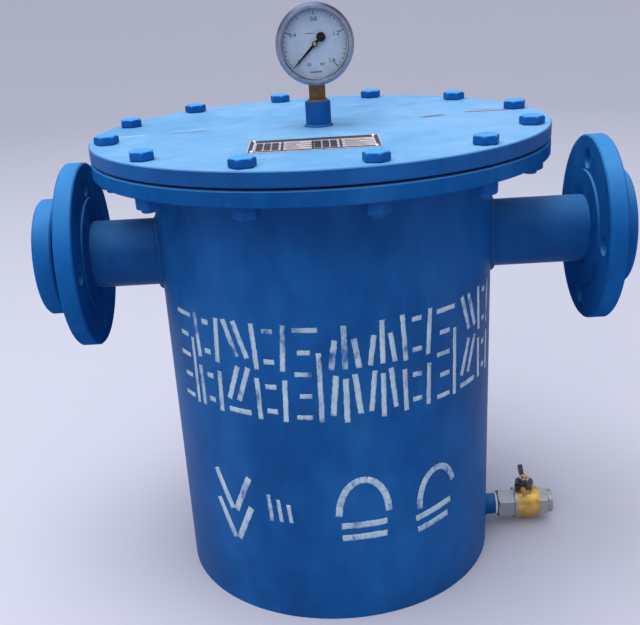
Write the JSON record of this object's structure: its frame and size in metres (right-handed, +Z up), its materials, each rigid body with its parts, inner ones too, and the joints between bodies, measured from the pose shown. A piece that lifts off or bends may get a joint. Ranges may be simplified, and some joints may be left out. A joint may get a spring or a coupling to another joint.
{
  "type": "compressed air filter",
  "caption": "Flanged steel vessel that separates water from compressed air, with a bolted cover, pressure gauge, loose-flange nozzles and drain valve.",
  "frame": {"origin": "centre of the vessel's flat underside, on the shell axis", "axes": "+Z up along the shell axis; +X along the nozzle axis towards the outlet; -Y towards the side that the gauge faces"},
  "size_m": [0.524, 0.395, 0.5125],
  "materials": {
    "blue_paint": "satin",
    "cover_paint": "semi-gloss",
    "bolt_paint": "satin",
    "inner_primer": "matt",
    "gasket_rubber": "matt",
    "zinc_steel": "satin",
    "filter_paper": "matt",
    "foam_sleeve": "matt",
    "tape_white": "matt",
    "valve_brass": "satin",
    "ball_chrome": "polished",
    "handle_black": "satin",
    "gauge_brass": "satin",
    "seal_fibre": "matt",
    "gauge_steel": "polished",
    "gauge_glass": "clear",
    "dial_white": "satin",
    "pointer_black": "satin",
    "plate_metal": "satin"
  },
  "bodies": {
    "vessel": {"vessel_shell": "blue_paint", "bottom_plate": "blue_paint", "bottom_weld": "blue_paint", "body_flange": "blue_paint", "body_flange_weld": "blue_paint", "cover_gasket": "gasket_rubber", "cover_nuts": "bolt_paint", "inlet_pipe": "blue_paint", "outlet_pipe": "blue_paint", "inlet_pipe_weld": "blue_paint", "outlet_pipe_weld": "blue_paint", "inlet_stub_ring": "blue_paint", "outlet_stub_ring": "blue_paint", "inlet_elbow": "inner_primer", "partition_plate": "inner_primer", "sump_baffle": "inner_primer", "element_gasket": "gasket_rubber", "element_top_cap": "zinc_steel", "element_core": "zinc_steel", "element_media": "filter_paper", "element_sleeve": "foam_sleeve", "element_bottom_cap": "zinc_steel", "tie_rod": "zinc_steel", "hold_down_bar": "zinc_steel", "hold_down_nut": "zinc_steel", "drain_nipple": "blue_paint", "drain_nipple_weld": "blue_paint", "thread_tape": "tape_white", "valve_body": "valve_brass", "valve_end_cap": "valve_brass", "ball_seats": "tape_white", "stem_packing": "tape_white", "packing_nut": "valve_brass"},
    "drain_handle": {"valve_ball": "ball_chrome", "valve_stem": "valve_brass", "valve_handle": "handle_black", "handle_nut": "zinc_steel"},
    "cover": {"cover_plate": "cover_paint", "cover_bolts": "bolt_paint", "gauge_socket": "blue_paint", "gauge_socket_weld": "blue_paint", "gauge_stem": "gauge_brass", "stem_seal": "seal_fibre", "gauge_case": "gauge_steel", "gauge_bezel": "gauge_steel", "gauge_glass": "gauge_glass", "glass_gasket": "gasket_rubber", "gauge_dial": "dial_white", "dial_screws": "zinc_steel", "bourdon_tube": "gauge_brass", "gauge_movement": "gauge_brass", "gauge_link": "gauge_brass", "vent_plug": "gasket_rubber", "nameplate": "plate_metal", "nameplate_rivets": "zinc_steel"},
    "pointer": {"gauge_pointer": "pointer_black", "pinion": "gauge_brass"},
    "sector": {"sector_gear": "gauge_brass"},
    "inlet_flange": {"inlet_loose_flange": "blue_paint"},
    "outlet_flange": {"outlet_loose_flange": "blue_paint"}
  },
  "joints": [
    {"name": "cover_lift", "type": "slide", "parent": "vessel", "child": "cover", "axis": [0, 0, 1], "range_m": [0, 0.3]},
    {"name": "drain_handle_turn", "type": "hinge", "parent": "vessel", "child": "drain_handle", "pos_m": [0.191, 0, 0.0205], "axis": [0, 0, 1], "range_deg": [0, 90]},
    {"name": "inlet_flange_turn", "type": "hinge", "parent": "vessel", "child": "inlet_flange", "pos_m": [-0.219, 0, 0.308], "axis": [1, 0, 0], "continuous": true},
    {"name": "outlet_flange_turn", "type": "hinge", "parent": "vessel", "child": "outlet_flange", "pos_m": [0.2445, 0, 0.308], "axis": [1, 0, 0], "continuous": true},
    {"name": "sector_turn", "type": "hinge", "parent": "cover", "child": "sector", "pos_m": [0, 0, 0.4625], "axis": [0, 1, 0], "range_deg": [-67.5, 0]},
    {"name": "pointer_turn", "type": "hinge", "parent": "cover", "child": "pointer", "pos_m": [0, 0, 0.48], "axis": [0, 1, 0], "range_deg": [0, 270]}
  ],
  "couplings": [
    {"joint": "pointer_turn", "follows": "sector_turn", "ratio": -4}
  ]
}
